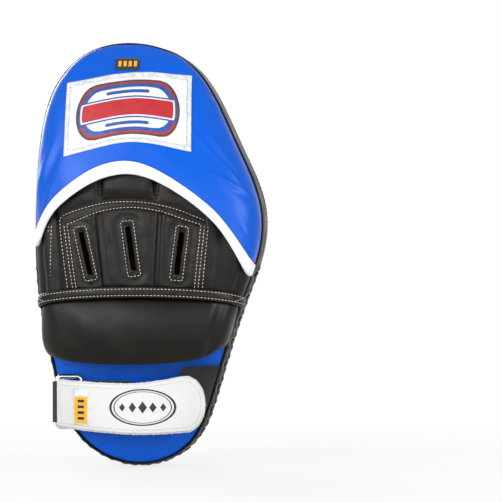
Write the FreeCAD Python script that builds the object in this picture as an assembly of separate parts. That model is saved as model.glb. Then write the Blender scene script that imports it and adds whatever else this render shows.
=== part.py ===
import FreeCAD, Part
import os
from math import atan2, cos, degrees, pi, sin, sqrt

V = FreeCAD.Vector

# Focus mitt for the left hand, in mm.
# +X is the little-finger side, -X the thumb side; +Y faces away from the struck side; +Z is
# towards the fingertips. The origin is the middle of the hand pocket's mouth. Heights in the
# dimensions below are counted from the tip at the wrist end.

pocket_height = 75.0       # mouth of the hand pocket
bend_radius = 800.0        # the pad is gently hollow along its length, on the struck side
bend_height = 165.0        # where that hollow is deepest
back_y = -14.0             # skin of the pad's back, at the deepest point of the hollow
wall_depth = 38.0          # side wall of the pad
crown = 6.0                # how far the struck side stands proud of the side wall
crown_round = 9.0          # rounding of the crowned edge
skin = 1.6                 # leather

# the pad's outline, seen from the back: (x, height)
outline = [
    (4, 310), (40, 301), (60, 278), (70, 240), (73, 190), (71, 125), (61, 70), (43, 21),
    (0, 0), (-39, 16), (-54, 45), (-66, 84), (-82, 130), (-91.5, 160), (-92.5, 188),
    (-77, 230), (-62, 262), (-43, 291),
]

gusset_seam_height = 187.0  # cross seam in the side wall
slit_top = 150.0            # below this the side wall is slit all round, and laced
gap_front = 13.5            # the slit, counted from the front edge of the side wall
gap_rear = 24.5
lace_pitch = 17.5
lace_width = 3.2
lace_thick = 1.6
lace_span = 17.0

piping = 0.9
target_radius = 27.0
target_at = (20.0, 180.0)   # (x, height)
target_thick = 0.5

# arches over the hand: the height of the outer surface above the pad's back, by height
panel_rise = [(118, 29.5), (150, 30), (190, 29), (222, 26), (250, 20)]
hood_rise = [(128, 37), (165, 38), (205, 37.5), (235, 32), (262, 25), (285, 16.5), (300, 8.5),
             (307.5, 3.2)]
cushion_rise = [(74, 31), (84, 34.5), (100, 35.5), (114, 34), (124, 30)]
panel_thick = 2.4
hood_thick = 2.2
cushion_thick = [(74, 5), (84, 11), (100, 12.5), (114, 11), (124, 5)]
panel_inset = 4.5
hood_inset = 0.6
cushion_inset = 2.0

knuckle_seam = 124.0
binding_width = 8.0
binding_thick = 1.1
# lower edge of the hood: (x, height)
hood_mouth = [(84, 132), (73, 160), (56, 188), (20, 211), (-15, 210), (-60, 179), (-87, 135), (-96, 116)]
panel_top = [(52, 179), (24, 190), (0, 193), (-27, 189), (-56, 177)]
panel_foot = (46, -51)      # x of the slotted panel's lower corners
slot_ends = [((37, 171), (30, 140)), ((2.5, 175), (-2, 143)), ((-37, 171), (-33, 140))]
slot_width = 4.6

patch_sides = ([(49.5, 226), (1, 236), (-43.5, 229)], [(-41.5, 285), (1, 287.5), (49.5, 280)])
tag_x = (-2.8, 14.5)
tag_heights = (290.0, 298.2)
cushion_bottom = [(74, 86), (66, 81), (50, 76), (10, 74.5), (-30, 75), (-56, 78), (-66, 82), (-76, 89)]

# wrist strap: arcs about one centre, in the plane of X and Y
strap_foot = [(62, 30), (30, 26.8), (0, 24.9), (-20, 24.9), (-38, 26)]
strap_reach = (15.0, 75.0)  # heights that hold the whole strap
strap_head = [(-38, 65), (-20, 62), (0, 60), (30, 60.6), (62, 62.6)]
strap_centre = (4.0, -97.0)
strap_radius = 107.0
strap_leather = 1.8
strap_backing = 1.5
strap_start_x = 57.0
strap_split_x = -8.0
strap_tip_x = -52.0
split_gap = 0.4
tail_thick = 1.4
label_x = (31.5, 43.5)
label_heights = (31.0, 56.0)
label_thick = 0.5
# rounded free end: (x, height)
round_end = [(-38, 26), (-46.5, 29.5), (-51, 36.8), (-52, 45.5), (-51, 54.2), (-46.5, 61.5), (-38, 65)]

wire = 3.6
ring_inner_bar = (41.0, -16.0)
ring_outer_bar = (57.5, -11.7)
ring_legs = 37.0           # leg to leg, along Z
ring_middle = 46.5         # height of the ring's middle
wrap_width = 30.0          # webbing round the ring's two bars
ring_corner = 3.2
webbing_thick = 1.5
webbing_gap = 0.25
anchor_x = 4.0             # inner end of the ring's webbing

# loop tab: its height and outer surface, (x, y), at its lower and its upper edge
tab_edges = [
    (40.0, [(-27, 1.2), (-35, -1.8), (-42, -5.2), (-47.5, -11), (-50.5, -18.5), (-51.5, -26)]),
    (73.0, [(-36, -2.3), (-43, -5.7), (-50, -9.8), (-55.5, -13.4), (-59.5, -16.4), (-63, -21)]),
]
tab_thick = 1.8
tab_clear = 0.4            # the tab is its own moving piece, so it stands just off the pad

far = 400.0


def z_at(height):
    return height - pocket_height


def back_at(height):
    """Y of the pad's back at a height."""
    return back_y - bend_radius + sqrt(bend_radius ** 2 - (height - bend_height) ** 2)


def outline_face(offset):
    """The pad's outline, moved outwards by offset, as a face in the plane of X and Z."""
    curve = Part.BSplineCurve()
    curve.interpolate([V(x, 0, z_at(h)) for x, h in outline], PeriodicFlag=True)
    if offset:
        first, last = curve.FirstParameter, curve.LastParameter
        steps = 3 * len(outline)
        moved = []
        for i in range(steps):
            at = first + (last - first) * i / steps
            along = curve.tangent(at)[0]
            moved.append(curve.value(at) + V(-along.z, 0, along.x) * offset)
        curve = Part.BSplineCurve()
        curve.interpolate(moved, PeriodicFlag=True)
    return Part.Face(Part.Wire(curve.toShape()))


def pillar(offset=0.0):
    """The outline as a solid that runs right through in Y."""
    face = outline_face(offset)
    face.translate(V(0, -far / 2, 0))
    return face.extrude(V(0, far, 0))


def behind(y):
    """Everything on the struck side of the bent surface that passes through y."""
    return Part.makeCylinder(
        bend_radius + y - back_y, far, V(-far / 2, back_y - bend_radius, z_at(bend_height)), V(1, 0, 0))


def layer(offset, y_front, y_back):
    return pillar(offset).common(behind(y_back)).cut(behind(y_front))


def block(x, y, z):
    """A box between pairs of limits."""
    return Part.makeBox(x[1] - x[0], y[1] - y[0], z[1] - z[0], V(x[0], y[0], z[0]))


def above(height):
    return block((-far, far), (-far, far), (z_at(height), far))


def below(height):
    return block((-far, far), (-far, far), (-far, z_at(height)))


def curve_through(points):
    if len(points) == 2:
        return Part.makeLine(points[0], points[1])
    curve = Part.BSplineCurve()
    curve.interpolate(points)
    return curve.toShape()


def cutter(*runs):
    """A solid right through in Y, with an outline of runs of points (x, height).

    Each run is one smooth curve, and straight lines join the runs.
    """
    runs = [[V(x, -far / 2, z_at(h)) for x, h in run] for run in runs]
    edges = []
    for run, following in zip(runs, runs[1:] + runs[:1]):
        if len(run) > 1:
            edges.append(curve_through(run))
        if run[-1].distanceToPoint(following[0]) > 0.01:
            edges.append(Part.makeLine(run[-1], following[0]))
    return Part.Face(Part.Wire(edges)).extrude(V(0, far, 0))


def shifted(points, rise):
    return [(x, h + rise) for x, h in points]


def at_height(pairs, height):
    """Straight-line value of a list of (height, value) pairs."""
    for (h0, v0), (h1, v1) in zip(pairs, pairs[1:]):
        if height <= h1:
            return v0 + (v1 - v0) * (height - h0) / (h1 - h0)
    return pairs[-1][1]


def arch_curve(height, rise, inset):
    """Half-round curve over the pad's back, at one height."""
    span = Part.makeLine(V(-far, 0, z_at(height)), V(far, 0, z_at(height))).common(plan)
    box = span.BoundBox
    middle, half = (box.XMin + box.XMax) / 2, (box.XMax - box.XMin) / 2 - inset
    points = []
    for i in range(11):
        angle = pi * i / 10
        points.append(V(middle + half * cos(angle), back_at(height) + rise * sin(angle) ** 0.62,
                        z_at(height)))
    return curve_through(points)


def arch(rises, thick, inset, grow=0.0):
    """A shell over the hand: lofted between half-round sections.

    thick is one number or a list of (height, thickness); grow moves both sides outwards.
    """
    wires = []
    for height, rise in rises:
        wall = thick if isinstance(thick, (int, float)) else at_height(thick, height)
        outer = arch_curve(height, rise + grow, inset - grow)
        inner = arch_curve(height, rise + grow - wall, inset - grow + wall)
        feet = [Part.makeLine(outer.Vertexes[n].Point, inner.Vertexes[n].Point) for n in (0, -1)]
        wires.append(Part.Wire([outer, feet[1], inner, feet[0]]))
    return Part.makeLoft(wires, True, False)


def strap_band(outer, thick, x_low, x_high, low, high):
    """A piece of the arc of the strap, between two radii and two values of X."""
    centre = V(strap_centre[0], strap_centre[1], z_at(low))
    tube = Part.makeCylinder(outer, high - low, centre)
    tube = tube.cut(Part.makeCylinder(outer - thick, high - low, centre))
    return tube.common(block((x_low, x_high), (strap_centre[1] + 20, far), (-far, far)))


def ring_wire(width, height, corner):
    """A rounded rectangle of wire from X = 0 to width, half above and half below Z = 0."""
    edges = []
    corners = [(width, 1), (0, 1), (0, -1), (width, -1)]
    for i, (x, up) in enumerate(corners):
        side = 1 if x else -1
        centre = V(x - side * corner, 0, up * (height / 2 - corner))
        turns = [(i + part) * pi / 2 for part in (0, 0.5, 1)]
        at = [centre + V(cos(a), 0, sin(a)) * corner for a in turns]
        if edges:
            edges.append(Part.makeLine(edges[-1].Vertexes[-1].Point, at[0]))
        edges.append(Part.Arc(*at).toShape())
    start = edges[0].Vertexes[0].Point
    edges.append(Part.makeLine(edges[-1].Vertexes[-1].Point, start))
    section = Part.Wire(Part.makeCircle(wire / 2, start, V(0, 0, 1)))
    return Part.Wire(edges).makePipeShell([section], True, True)


def rod(at, radius, low, high):
    return Part.makeCylinder(radius, high - low, V(at[0], at[1], z_at(low)))


def write(name, shape):
    solids = [s for s in shape.Solids if s.Volume > 1]
    shape = solids[0] if len(solids) == 1 else Part.makeCompound(solids)
    shape.exportStep("parts/%s.step" % name)
    print(name, len(solids), "solid(s)", "ok" if shape.isValid() else "NOT VALID")


os.makedirs("parts", exist_ok=True)

plan = outline_face(0.0)

# ---- pad ----
front_y = back_y - wall_depth
whole = pillar().common(behind(back_y)).cut(behind(front_y - crown))
front_edges = [e for e in whole.Edges if e.CenterOfMass.y < front_y]
whole = whole.makeFillet(crown_round, front_edges)
filling = pillar(-skin).common(behind(back_y - skin)).cut(behind(front_y - crown + skin))
front_edges = [e for e in filling.Edges if e.CenterOfMass.y < front_y]
filling = filling.makeFillet(crown_round - skin, front_edges)

shell = whole.cut(filling)
gap_front_y = front_y + gap_front
gap_rear_y = front_y + gap_rear
gap_y = (gap_front_y + gap_rear_y) / 2
face_cover = shell.common(behind(front_y))
write("striking_face_cover", face_cover)
write("striking_foam", filling.common(behind(gap_front_y)))
write("core_foam", filling.common(behind(gap_rear_y)).cut(behind(gap_front_y)))
write("backing_foam", filling.cut(behind(gap_rear_y)))
walls = shell.common(behind(back_y - skin)).cut(behind(front_y))
write("upper_gusset", walls.common(above(gusset_seam_height)))
slit = pillar(skin).common(behind(gap_rear_y)).cut(behind(gap_front_y)).common(below(slit_top))
slit_end = Part.makeCylinder((gap_rear - gap_front) / 2, far, V(-far / 2, gap_y + back_at(slit_top) - back_y,
                                                                z_at(slit_top)), V(1, 0, 0))
write("lower_gusset", walls.common(below(gusset_seam_height)).cut([slit, slit_end]))
write("back_panel", shell.cut(behind(back_y - skin)))
write("face_piping", layer(piping, front_y - piping, front_y + piping).cut(pillar()))
disc = Part.makeCylinder(target_radius, far, V(target_at[0], -far, z_at(target_at[1])), V(0, 1, 0))
write("face_target_patch",
      disc.common(behind(front_y - crown)).cut(behind(front_y - crown - target_thick)))

# laces: straight turns across the gap, evenly spaced along the edge of the lower half
edge = plan.OuterWire.Edges[0]
curve = edge.Curve
first, last = edge.FirstParameter, edge.LastParameter
steps = 2000
along = 0.0
spots = []
before = None
for i in range(steps + 1):
    at = first + (last - first) * i / steps
    point = curve.value(at)
    if point.z < z_at(slit_top - 0.2 * lace_pitch):
        if before is not None:
            along += point.distanceToPoint(before)
            if along >= lace_pitch * (len(spots) + 0.5):
                spots.append((point, curve.tangent(at)[0]))
        before = point
turns = []
for point, way in spots:
    height = point.z + pocket_height
    sag = back_at(height) - back_y
    turn = block((-lace_width / 2, lace_width / 2), (-lace_span / 2, lace_span / 2), (-3.0, lace_thick))
    turn.rotate(V(0, 0, 0), V(0, 1, 0), -degrees(atan2(way.z, way.x)))
    turn.translate(point + V(0, gap_y + sag, 0))
    turns.append(turn.cut(pillar()))
write("edge_laces", Part.makeCompound(turns))

# ---- hand side ----
panel = arch(panel_rise, panel_thick, panel_inset).common(above(knuckle_seam))
panel = panel.cut(behind(back_y))
sides = cutter([(panel_foot[0], knuckle_seam - 1)], panel_top, [(panel_foot[1], knuckle_seam - 1)])
centre_panel = panel.common(sides)
rest = panel.cut(sides)
lower_edge = cutter(panel_top, [(-far, 177)], [(-far, far)], [(far, far)], [(far, 180)])
write("finger_channel", rest.common(lower_edge))
webs = rest.cut(lower_edge)
write("pinky_side_web", webs.common(block((0, far), (-far, far), (-far, far))))
write("thumb_side_web", webs.common(block((-far, 0), (-far, far), (-far, far))))
for (x0, h0), (x1, h1) in slot_ends:
    length = sqrt((x1 - x0) ** 2 + (h1 - h0) ** 2)
    slot = block((-slot_width / 2, slot_width / 2), (-far / 2, far / 2), (-length, 0))
    slot.rotate(V(0, 0, 0), V(0, 1, 0), degrees(atan2(x0 - x1, h0 - h1)))
    slot.translate(V(x0, 0, z_at(h0)))
    centre_panel = centre_panel.cut(slot)
write("finger_panel", centre_panel)

hood = arch(hood_rise, hood_thick, hood_inset)
hood_over = arch(hood_rise, 0.8, hood_inset, 0.8)
hood_wrap = arch(hood_rise, hood_thick + 2 * binding_thick, hood_inset, binding_thick)
ends = [(-far, far), (far, far)]
above_mouth = cutter(hood_mouth, ends)
hood = hood.common(above_mouth).cut(behind(back_y))
write("finger_hood", hood)
wrap_low = shifted(hood_mouth, -binding_thick)
wrap_high = shifted(hood_mouth, binding_width)
binding = hood_wrap.common(cutter(wrap_low, wrap_high[::-1])).cut(hood).cut(behind(back_y))
write("hood_binding", binding.cut(panel))
patch = cutter(*patch_sides)
write("hood_patch", hood_over.common(patch))
tag = block(tag_x, (-far, far), (z_at(tag_heights[0]), z_at(tag_heights[1])))
write("hand_tag", hood_over.common(tag))

rounded = cutter(cushion_bottom, [(-far, knuckle_seam + 9), (far, knuckle_seam + 9)])
cushion = arch(cushion_rise, cushion_thick, cushion_inset).common(rounded).cut(behind(back_y))
foam_rise = [(h, rise - skin) for h, rise in cushion_rise[1:-1]]
foam_thick = [(h, wall - 2 * skin) for h, wall in cushion_thick]
foam = arch(foam_rise, foam_thick, cushion_inset + skin).cut(behind(back_y + 6))
write("hand_cushion_foam", foam)
write("hand_cushion_cover", cushion.cut(foam))
seam_rise = [(knuckle_seam - 7, 34.6), (knuckle_seam, 31.2), (knuckle_seam + 6, 30.9)]
seam = arch(seam_rise, 3.0, cushion_inset - 0.5).cut(behind(back_y + 2))
seam = seam.common(above(knuckle_seam - 4)).common(below(knuckle_seam + 4))
write("knuckle_band", seam.cut(cushion).cut(panel))

# ---- ring and strap ----
wrap_low, wrap_high = ring_middle - wrap_width / 2, ring_middle + wrap_width / 2
bore = wire / 2 + webbing_gap
anchor = layer(0, back_y, back_y + webbing_thick)
anchor = anchor.common(block((anchor_x, ring_inner_bar[0]), (-far, far), (z_at(wrap_low), z_at(wrap_high))))
root = block((ring_inner_bar[0] - bore - webbing_thick, ring_inner_bar[0]), (-60, ring_inner_bar[1]),
             (z_at(wrap_low), z_at(wrap_high)))
anchor = anchor.fuse([root, rod(ring_inner_bar, bore + webbing_thick, wrap_low, wrap_high)])
write("ring_anchor_tab", anchor.cut(rod(ring_inner_bar, bore, 0, 200)).cut(behind(back_y)))

lean = V(ring_outer_bar[0] - ring_inner_bar[0], ring_outer_bar[1] - ring_inner_bar[1], 0)
ring = ring_wire(lean.Length, ring_legs, ring_corner)
ring.rotate(V(0, 0, 0), V(0, 0, 1), degrees(atan2(lean.y, lean.x)))
ring.translate(V(ring_inner_bar[0], ring_inner_bar[1], z_at(ring_middle)))
write("wire_ring", ring)

under = strap_radius - strap_leather
tail_outer = under - strap_backing
fold = rod(ring_outer_bar, bore + webbing_thick, wrap_low, wrap_high)
fold = fold.fuse(strap_band(tail_outer, tail_thick, 42.0, strap_start_x + 2, wrap_low, wrap_high))
fold = fold.cut(strap_band(strap_radius, strap_radius - tail_outer, 30, 70, strap_reach[0], strap_reach[1]))
write("strap_end_fold", fold.cut(rod(ring_outer_bar, bore, 0, 200)))

base = (strap_split_x + split_gap / 2, strap_start_x)
tip = (strap_tip_x, strap_split_x - split_gap / 2)
strap_shape = cutter(strap_foot, round_end, strap_head)
for part, x in (("base", base), ("tip", tip)):
    top = strap_band(strap_radius, strap_leather, x[0], x[1], strap_reach[0], strap_reach[1])
    lining = strap_band(under, strap_backing, x[0], x[1], strap_reach[0], strap_reach[1])
    write("strap_%s_leather" % part, top.common(strap_shape))
    write("strap_%s_pile" % part, lining.common(strap_shape))
write("strap_label", strap_band(strap_radius + label_thick, label_thick, label_x[0], label_x[1],
                                label_heights[0], label_heights[1]))

# ---- loop tab ----
sections = []
for height, points in tab_edges:
    side = Part.BSplineCurve()
    side.interpolate([V(x, y, z_at(height)) for x, y in points])
    first, last = side.FirstParameter, side.LastParameter
    inside = []
    for i in range(9):
        at = first + (last - first) * i / 8
        way = side.tangent(at)[0]
        inside.append(side.value(at) + V(-way.y, way.x, 0) * tab_thick)
    inside = curve_through(inside)
    outside = side.toShape()
    ends = [Part.makeLine(outside.Vertexes[n].Point, inside.Vertexes[n].Point) for n in (0, -1)]
    sections.append(Part.Wire([outside, ends[1], inside, ends[0]]))
tab = Part.makeLoft(sections, True, True)
write("wrist_loop_tab", tab.cut(behind(back_y + tab_clear)))
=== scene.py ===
import math
import bpy
import bmesh
import numpy as np
from mathutils import Matrix, Vector, noise


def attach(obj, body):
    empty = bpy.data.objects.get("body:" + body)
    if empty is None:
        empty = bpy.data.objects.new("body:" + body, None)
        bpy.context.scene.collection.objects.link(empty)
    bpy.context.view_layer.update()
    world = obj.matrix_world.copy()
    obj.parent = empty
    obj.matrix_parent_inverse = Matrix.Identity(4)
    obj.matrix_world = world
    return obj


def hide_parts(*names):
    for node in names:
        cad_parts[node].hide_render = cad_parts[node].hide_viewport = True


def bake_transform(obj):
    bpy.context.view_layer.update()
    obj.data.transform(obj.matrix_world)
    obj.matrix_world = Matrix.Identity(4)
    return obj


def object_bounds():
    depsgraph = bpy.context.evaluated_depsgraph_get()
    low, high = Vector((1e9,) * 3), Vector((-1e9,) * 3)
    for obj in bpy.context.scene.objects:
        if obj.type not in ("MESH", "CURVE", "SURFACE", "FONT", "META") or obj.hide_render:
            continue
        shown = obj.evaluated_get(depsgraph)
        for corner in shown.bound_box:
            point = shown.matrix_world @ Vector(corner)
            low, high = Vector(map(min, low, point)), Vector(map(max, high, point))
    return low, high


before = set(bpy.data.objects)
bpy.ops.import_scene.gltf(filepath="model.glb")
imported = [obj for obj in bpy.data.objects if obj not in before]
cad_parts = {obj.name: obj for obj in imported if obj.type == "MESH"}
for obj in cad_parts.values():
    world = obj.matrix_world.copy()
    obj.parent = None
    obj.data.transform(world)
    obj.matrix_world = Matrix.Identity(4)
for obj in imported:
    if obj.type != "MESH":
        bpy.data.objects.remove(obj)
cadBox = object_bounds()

mm = 0.001

# Left-hand focus mitt. Lengths in this file are in millimetres and heights are counted from the
# tip at the wrist end, as x, y, height; spot() turns them into the frame's metres.

mitt = {
    "pocket": 75.0,          # height of the frame's origin
    "bendRadius": 800.0,
    "bendHeight": 165.0,
    "back": -14.0,           # the pad's back where the bend is deepest
    "wall": 38.0,            # side wall
    "outline": [(4, 310), (40, 301), (60, 278), (70, 240), (73, 190), (71, 125), (61, 70), (43, 21),
                (0, 0), (-39, 16), (-54, 45), (-66, 84), (-82, 130), (-91.5, 160), (-92.5, 188),
                (-77, 230), (-62, 262), (-43, 291)],
    "stations": 720,         # steps round the outline
}


def spot(x, y, height):
    return Vector((x, y, height - mitt["pocket"])) * mm


def backAt(height):
    radius = mitt["bendRadius"]
    return mitt["back"] - radius + math.sqrt(radius ** 2 - (height - mitt["bendHeight"]) ** 2)


def runAlong(points):
    # how far along a line each of its points is
    return np.concatenate([[0], np.cumsum(np.linalg.norm(np.diff(points, axis=0), axis=1))])


def evenSteps(fine, count, endpoint=True):
    # a finely drawn line with its points set at even steps, and the line's length
    run = runAlong(fine)
    steps = np.linspace(0, run[-1], count, endpoint=endpoint)
    return np.stack([np.interp(steps, run, fine[:, k]) for k in range(fine.shape[1])], 1), run[-1]


def closedSpline(points, count):
    # even steps along a smooth closed curve through the points
    at = np.array(points, float)
    corners = len(at)
    chord = np.linalg.norm(np.roll(at, -1, 0) - at, axis=1)
    grid = np.zeros((corners, corners))
    for i in range(corners):
        grid[i, i - 1] = chord[i - 1]
        grid[i, i] = 2 * (chord[i - 1] + chord[i])
        grid[i, (i + 1) % corners] = chord[i]
    slope = (np.roll(at, -1, 0) - at) / chord[:, None]
    curl = np.linalg.solve(grid, 6 * (slope - np.roll(slope, 1, 0)))
    fine = []
    for i in range(corners):
        j, span = (i + 1) % corners, chord[i]
        for t in np.arange(0, 1, 0.01):
            a, b = 1 - t, t
            fine.append(a * at[i] + b * at[j]
                        + ((a ** 3 - a) * curl[i] + (b ** 3 - b) * curl[j]) * span ** 2 / 6)
    return evenSteps(np.array(fine + fine[:1]), count, endpoint=False)


rim, rimLength = closedSpline(mitt["outline"], mitt["stations"])
size = len(rim)
rimOut = np.roll(rim, -1, 0) - np.roll(rim, 1, 0)
rimOut = np.stack([-rimOut[:, 1], rimOut[:, 0]], 1) / np.linalg.norm(rimOut, axis=1)[:, None]
topStation, tipStation = int(rim[:, 1].argmax()), int(rim[:, 1].argmin())


def lookUp(line, steps=900):
    # a quick function of the first coordinate of a line of points
    line = np.array(line, float)
    line = line[line[:, 0].argsort()]
    low, high = float(line[0, 0]), float(line[-1, 0])
    values = np.interp(np.linspace(low, high, steps + 1), line[:, 0], line[:, 1]).tolist()

    def at(place):
        t = min(max((place - low) / (high - low), 0.0), 1.0) * steps
        i = min(int(t), steps - 1)
        return values[i] + (values[i + 1] - values[i]) * (t - i)
    return at


descent = np.arange(topStation, tipStation + len(rim) * (tipStation < topStation) + 1) % len(rim)
ascent = np.arange(tipStation, topStation + len(rim) * (topStation < tipStation) + 1) % len(rim)
littleSide, thumbSide = (lookUp(rim[way][:, ::-1], 3000) for way in (descent, ascent))


def edgeX(height):
    # the outline's two sides at one height: little-finger side, thumb side
    return littleSide(height), thumbSide(height)


def padAcross(height):
    # the pad's middle line at one height, and half its width
    little, thumb = edgeX(height)
    return (little + thumb) / 2, (little - thumb) / 2


def smoothStep(a, b, value):
    t = min(max((value - a) / (b - a), 0.0), 1.0)
    return t * t * (3 - 2 * t)


def bump(distance, width):
    return math.exp(-(distance / width) ** 2)


def eased(t):
    # 0 to 1 with closer steps near both ends
    return 0.5 - 0.5 * math.cos(math.pi * t)


def quarterRound(t):
    # rises from 0 to 1 as a quarter of a circle does
    return math.sqrt(max(1 - (1 - t) ** 2, 0))


def alongLine(line, t):
    # the point at t, 0 to 1, of a line of even steps
    last = len(line) - 1
    i = min(int(t * last), last - 1)
    return line[i] + (line[i + 1] - line[i]) * (t * last - i)


def threadPoint(place, lifted):
    # what a row of stitches wants: a point, and the way out of the surface there
    return place, (lifted - place).normalized()


def newPiece(name, bm, material, body="root", smooth=True, replaces=()):
    bmesh.ops.recalc_face_normals(bm, faces=bm.faces)
    if any(e.is_boundary for e in bm.edges):
        # an open sheet faces away from the middle of the pad
        core = Vector((-0.008, -0.034, 0))
        outward = sum(f.normal.dot(f.calc_center_median() * Vector((1, 1, 0)) - core) for f in bm.faces)
        if outward < 0:
            bmesh.ops.reverse_faces(bm, faces=bm.faces)
    mesh = bpy.data.meshes.new(name)
    bm.to_mesh(mesh)
    bm.free()
    for face in mesh.polygons:
        face.use_smooth = smooth
    piece = bpy.data.objects.new(name, mesh)
    bpy.context.scene.collection.objects.link(piece)
    mesh.materials.append(material)
    if body:
        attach(piece, body)
    if replaces:
        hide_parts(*replaces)
    return piece


def gridPiece(columns, rows, place, closed=False):
    # a grid whose place comes from place(u, v), u and v from 0 to 1; its UV map is u, v
    bm = bmesh.new()
    bm.loops.layers.uv.new("UVMap")
    bmesh.ops.create_grid(bm, x_segments=columns, y_segments=rows, size=1, calc_uvs=True)
    for vertex in bm.verts:
        vertex.co = place((vertex.co.x + 1) / 2, (vertex.co.y + 1) / 2)
    if closed:
        bmesh.ops.remove_doubles(bm, verts=bm.verts, dist=1e-6)
    return bm


def addTo(whole, part):
    # puts one bmesh into another
    mesh = bpy.data.meshes.new("part")
    part.to_mesh(mesh)
    part.free()
    whole.from_mesh(mesh)
    bpy.data.meshes.remove(mesh)


def solid(piece, thick, offset=-1.0, bevel=0.0):
    shell = piece.modifiers.new("thickness", "SOLIDIFY")
    shell.thickness = thick * mm
    shell.offset = offset
    shell.use_even_offset = False
    if bevel:
        soften = piece.modifiers.new("edges", "BEVEL")
        soften.width = bevel * mm
        soften.segments = 2
        soften.limit_method = "ANGLE"
        soften.angle_limit = math.radians(50)
    return piece


def finishedMesh(piece):
    return bpy.data.meshes.new_from_object(piece.evaluated_get(bpy.context.evaluated_depsgraph_get()))


def closedTube(points, radius, name, material, replaces=()):
    curve = bpy.data.curves.new(name, "CURVE")
    curve.dimensions = "3D"
    spline = curve.splines.new("POLY")
    spline.points.add(len(points) - 1)
    for place, point in zip(spline.points, points):
        place.co = (*point, 1)
    spline.use_cyclic_u = True
    curve.bevel_depth = radius * mm
    curve.bevel_resolution = 2
    maker = bpy.data.objects.new(name + "Curve", curve)
    bpy.context.scene.collection.objects.link(maker)
    mesh = finishedMesh(maker)
    bpy.data.objects.remove(maker)
    bm = bmesh.new()
    bm.from_mesh(mesh)
    bpy.data.meshes.remove(mesh)
    return newPiece(name, bm, material, replaces=replaces)


def stitches(name, rows, material, pitch=2.7, long=1.9, wide=0.62, body="root"):
    # rows are lists of (point, normal) in metres, close together; one bead of thread per step
    whole = bmesh.new()
    for row in rows:
        bm = bmesh.new()
        points = np.array([p for p, n in row])
        normals = np.array([n for p, n in row])
        run = runAlong(points)
        count = max(int(run[-1] / (pitch * mm)), 1)
        for i in range(count):
            at = run[-1] * (i + 0.5) / count
            reach = 0.5 * mm
            middle, ahead, behind, up = (
                Vector([np.interp(s, run, values[:, k]) for k in range(3)])
                for s, values in ((at, points), (at + reach, points), (at - reach, points), (at, normals)))
            along = (ahead - behind).normalized()
            side = up.cross(along).normalized()
            turn = Matrix((along, side, along.cross(side))).transposed().to_4x4()
            bead = Matrix.Diagonal((long * mm / 2, wide * mm / 2, wide * mm / 2, 1))
            bmesh.ops.create_uvsphere(bm, u_segments=8, v_segments=5, radius=1,
                                      matrix=Matrix.Translation(middle) @ turn @ bead)
        addTo(whole, bm)
    return newPiece(name, whole, material, body)


def linear(hexColour):
    parts = [int(hexColour[i:i + 2], 16) / 255 for i in (1, 3, 5)]
    return tuple(c / 12.92 if c <= 0.04045 else ((c + 0.055) / 1.055) ** 2.4 for c in parts) + (1,)


def addNode(tree, kind, inputs=None, **settings):
    node = tree.nodes.new("ShaderNode" + kind)
    for key, value in settings.items():
        setattr(node, key, value)
    for key, value in (inputs or {}).items():
        if isinstance(value, bpy.types.NodeSocket):
            tree.links.new(value, node.inputs[key])
        else:
            node.inputs[key].default_value = value
    return node


def newMaterial(name, **constants):
    material = bpy.data.materials.new(name)
    material.use_nodes = True
    tree = material.node_tree
    shader = tree.nodes["Principled BSDF"]
    for key, value in constants.items():
        shader.inputs[key.replace("_", " ")].default_value = value
    return material, tree, shader


def colourDrift(tree, where, dark, light, scale, low=0.35, high=0.65):
    # slow change between two tones of one colour
    drift = addNode(tree, "TexNoise", {"Vector": where, "Scale": scale, "Detail": 3.0, "Roughness": 0.55})
    ramp = addNode(tree, "ValToRGB", {"Fac": drift.outputs["Fac"]})
    ramp.color_ramp.elements[0].position, ramp.color_ramp.elements[1].position = low, high
    ramp.color_ramp.elements[0].color, ramp.color_ramp.elements[1].color = linear(dark), linear(light)
    return ramp.outputs["Color"]


def dressed(material, tree, shader, colour, relief):
    tree.links.new(colour, shader.inputs["Base Color"])
    tree.links.new(relief.outputs["Normal"], shader.inputs["Normal"])
    return material


def coatedLeather(name, dark, light, rough=(0.34, 0.46), grain=1.1, depth=0.05, shine=0.4):
    # leather with a sprayed colour coat: fine pebble grain, soft gloss that varies a little
    material, tree, shader = newMaterial(name, Specular_IOR_Level=shine, IOR=1.5)
    where = addNode(tree, "TexCoord").outputs["Object"]
    cells = addNode(tree, "TexVoronoi", {"Vector": where, "Scale": 1 / (grain * mm)},
                    feature="DISTANCE_TO_EDGE")
    crease = addNode(tree, "MapRange", {"Value": cells.outputs["Distance"], "From Max": 0.18})
    fine = addNode(tree, "TexNoise", {"Vector": where, "Scale": 1 / (0.5 * grain * mm), "Detail": 2.0})
    slow = addNode(tree, "TexNoise", {"Vector": where, "Scale": 1 / (22 * mm), "Detail": 2.0})
    height = addNode(tree, "Math", {0: crease.outputs["Result"], 1: fine.outputs["Fac"]}, operation="ADD")
    relief = addNode(tree, "Bump", {"Height": height.outputs[0], "Strength": 0.35, "Distance": depth * mm})
    gloss = addNode(tree, "MapRange", {"Value": slow.outputs["Fac"], "From Min": 0.3, "From Max": 0.7,
                                       "To Min": rough[0], "To Max": rough[1]})
    tree.links.new(gloss.outputs["Result"], shader.inputs["Roughness"])
    return dressed(material, tree, shader, colourDrift(tree, where, dark, light, 1 / (35 * mm)), relief)


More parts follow.
